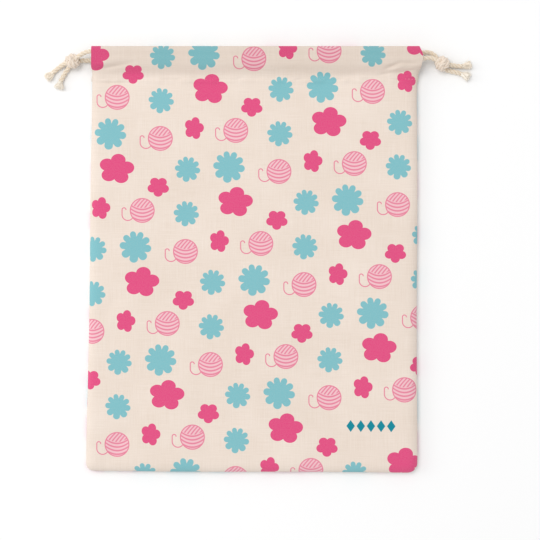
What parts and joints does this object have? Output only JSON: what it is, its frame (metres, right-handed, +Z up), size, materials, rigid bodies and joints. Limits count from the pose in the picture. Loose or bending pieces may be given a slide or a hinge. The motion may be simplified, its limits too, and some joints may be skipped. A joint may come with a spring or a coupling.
{
  "type": "drawstring project bag",
  "caption": "Flat cotton drawstring bag for knitting, with a turned casing, two knotted twisted cords and an all-over print of flowers and wool balls.",
  "frame": {"origin": "middle of the bag, without its free cords, on the surface that it lies on", "axes": "+Z up, +Y from the bottom seam to the mouth, +X to the right slit"},
  "size_m": [0.3959, 0.39, 0.0168],
  "materials": {
    "printed_cotton": "plain-weave cotton canvas with a printed pattern",
    "seam_cotton": "overlocked plain-weave cotton allowances",
    "sewing_thread": "spun thread",
    "twisted_cord": "three-ply twisted natural cotton",
    "frayed_cord": "loose natural cotton fibres"
  },
  "bodies": {
    "bag": {"back_panel": "printed_cotton", "front_panel": "printed_cotton", "back_casing": "printed_cotton", "front_casing": "printed_cotton", "left_side_seam": "seam_cotton", "right_side_seam": "seam_cotton", "bottom_seam": "seam_cotton", "back_casing_stitching": "sewing_thread", "front_casing_stitching": "sewing_thread", "left_slit_tack": "sewing_thread", "right_slit_tack": "sewing_thread"},
    "left_drawstring": {"left_cord_run": "twisted_cord", "left_cord_front": "twisted_cord", "left_cord_back": "twisted_cord", "left_knot": "twisted_cord", "left_frayed_front": "frayed_cord", "left_frayed_back": "frayed_cord"},
    "right_drawstring": {"right_cord_run": "twisted_cord", "right_cord_front": "twisted_cord", "right_cord_back": "twisted_cord", "right_knot": "twisted_cord", "right_frayed_front": "frayed_cord", "right_frayed_back": "frayed_cord"}
  },
  "joints": [
    {"name": "left_drawstring_pull", "type": "slide", "parent": "bag", "child": "left_drawstring", "axis": [-1, 0, 0], "range_m": [0, 0.08], "deforming": ["front_panel", "back_panel", "front_casing", "back_casing", "front_casing_stitching", "back_casing_stitching", "right_side_seam", "right_slit_tack"]},
    {"name": "right_drawstring_pull", "type": "slide", "parent": "bag", "child": "right_drawstring", "axis": [1, 0, 0], "range_m": [0, 0.08], "deforming": ["front_panel", "back_panel", "front_casing", "back_casing", "front_casing_stitching", "back_casing_stitching", "left_side_seam", "left_slit_tack"]}
  ]
}
